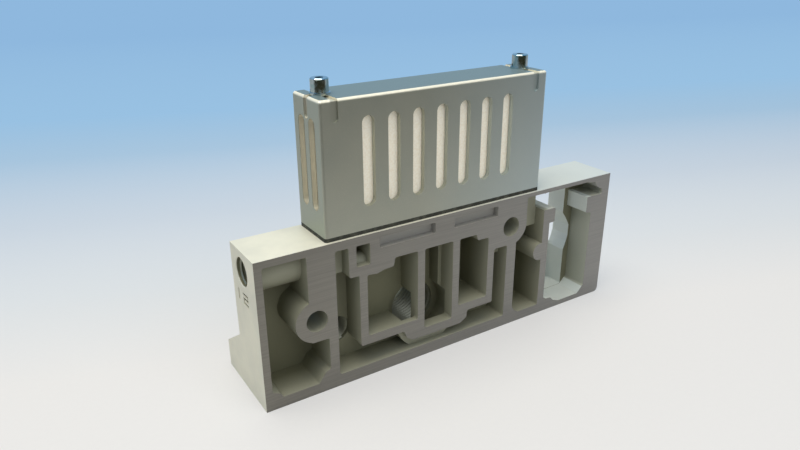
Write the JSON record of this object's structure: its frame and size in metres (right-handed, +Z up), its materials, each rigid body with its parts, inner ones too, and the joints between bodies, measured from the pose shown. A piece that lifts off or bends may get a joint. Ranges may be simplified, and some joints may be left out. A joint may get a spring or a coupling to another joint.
{
  "type": "pneumatic manifold end station with silencer",
  "caption": "Cast manifold station of a pneumatic valve island, open on its joint face, with a slotted silencer housing on top.",
  "frame": {"origin": "centre of the footprint on the surface it stands on", "axes": "+X along the station from the pilot port to the far end, +Y from the joint face to the rear foot, +Z up"},
  "size_m": [0.188, 0.041, 0.1273],
  "materials": {
    "cast_aluminium": "as cast, light grey, milled on the joint face",
    "blasted_aluminium": "satin, bead blasted",
    "gasket_rubber": "matt",
    "porous_element": "porous, cream",
    "zinc_steel": "bright zinc"
  },
  "bodies": {
    "root": {"manifold_body": "cast_aluminium", "silencer_housing": "blasted_aluminium", "housing_gasket": "gasket_rubber", "silencer_element": "porous_element", "left_cover_screw": "zinc_steel", "left_spring_washer": "zinc_steel", "left_flat_washer": "zinc_steel", "right_cover_screw": "zinc_steel", "right_spring_washer": "zinc_steel", "right_flat_washer": "zinc_steel"}
  },
  "joints": []
}
